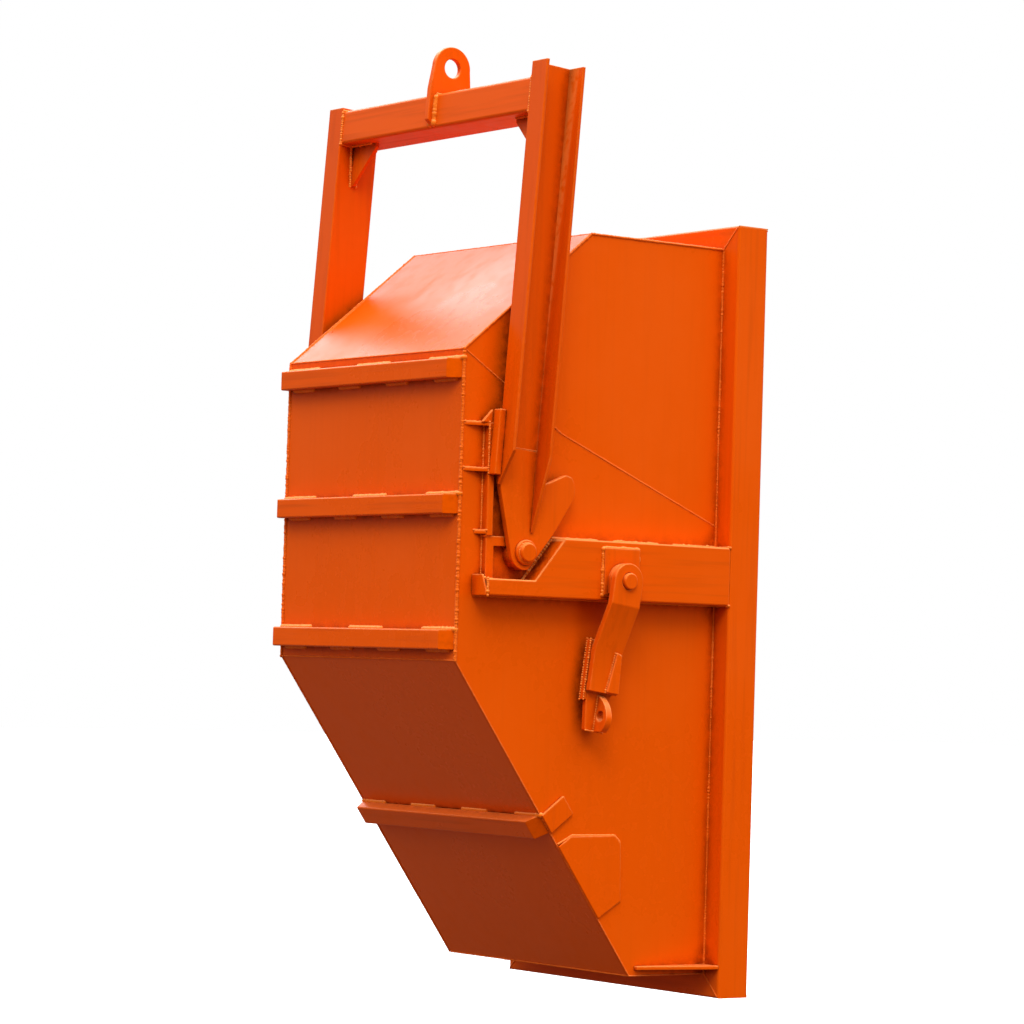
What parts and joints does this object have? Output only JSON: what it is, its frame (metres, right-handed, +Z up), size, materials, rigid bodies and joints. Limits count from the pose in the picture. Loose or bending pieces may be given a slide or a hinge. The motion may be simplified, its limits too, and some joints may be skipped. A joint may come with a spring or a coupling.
{
  "type": "lifting hopper",
  "caption": "Tall open-mouthed box hopper with sloping top and bottom, ribbed back and flanged mouth, hung from a pivoting lifting bail, with cranked latch levers on its side beams.",
  "frame": {"origin": "centre of the lifting eye, at the middle of the lug's thickness", "axes": "+Z up when the hopper hangs from the eye, +Y towards the open mouth, +X to the hopper's right-hand side seen from behind (the side with the longer bail arm)"},
  "size_m": [0.996, 0.954, 2.4403],
  "materials": {
    "orange_enamel": "gloss"
  },
  "bodies": {
    "lifting_bail": {"corner_gussets": "orange_enamel", "crossbar": "orange_enamel", "left_arm": "orange_enamel", "left_arm_end_plate": "orange_enamel", "lifting_lug": "orange_enamel", "right_arm": "orange_enamel", "right_arm_end_plate": "orange_enamel"},
    "hopper": {"back_plate": "orange_enamel", "back_rib_lower": "orange_enamel", "back_rib_middle": "orange_enamel", "back_rib_upper": "orange_enamel", "beam_end_plates": "orange_enamel", "bottom_gussets": "orange_enamel", "bottom_plate": "orange_enamel", "doublers": "orange_enamel", "flange_bottom_tube": "orange_enamel", "flange_left_tube": "orange_enamel", "flange_right_tube": "orange_enamel", "flange_top_tube": "orange_enamel", "left_beam_slope_plate": "orange_enamel", "left_lever_boss_plate": "orange_enamel", "left_lever_pin": "orange_enamel", "left_lever_spacer": "orange_enamel", "left_pin_collar": "orange_enamel", "left_pivot_frame": "orange_enamel", "left_pivot_pin": "orange_enamel", "left_side_beam": "orange_enamel", "left_side_plate_lower": "orange_enamel", "left_side_plate_upper": "orange_enamel", "left_stop_gussets": "orange_enamel", "left_stop_pad": "orange_enamel", "left_stop_post": "orange_enamel", "lower_slope_plate": "orange_enamel", "pivot_bosses": "orange_enamel", "right_beam_slope_plate": "orange_enamel", "right_lever_boss_plate": "orange_enamel", "right_lever_pin": "orange_enamel", "right_lever_spacer": "orange_enamel", "right_pin_collar": "orange_enamel", "right_pivot_frame": "orange_enamel", "right_pivot_pin": "orange_enamel", "right_side_beam": "orange_enamel", "right_side_plate_lower": "orange_enamel", "right_side_plate_upper": "orange_enamel", "right_stop_gussets": "orange_enamel", "right_stop_pad": "orange_enamel", "right_stop_post": "orange_enamel", "slope_rib": "orange_enamel", "slope_rib_returns": "orange_enamel", "top_plate": "orange_enamel", "top_slope_plate": "orange_enamel"},
    "right_lever": {"right_latch_lever": "orange_enamel", "right_lever_lug": "orange_enamel", "right_lever_stiffeners": "orange_enamel", "right_lever_tail": "orange_enamel"},
    "left_lever": {"left_latch_lever": "orange_enamel", "left_lever_lug": "orange_enamel", "left_lever_stiffeners": "orange_enamel", "left_lever_tail": "orange_enamel"}
  },
  "joints": [
    {"name": "hopper_tilt", "type": "hinge", "parent": "lifting_bail", "child": "hopper", "pos_m": [0, -0.03267, -1.2628], "axis": [1, 0, 0], "range_deg": [0, 13.5]},
    {"name": "right_lever_swing", "type": "hinge", "parent": "hopper", "child": "right_lever", "pos_m": [0.4795, 0.25233, -1.3236], "axis": [1, 0, 0], "range_deg": [-27, 43]},
    {"name": "left_lever_swing", "type": "hinge", "parent": "hopper", "child": "left_lever", "pos_m": [-0.4795, 0.25233, -1.3236], "axis": [1, 0, 0], "range_deg": [-27, 43]}
  ]
}
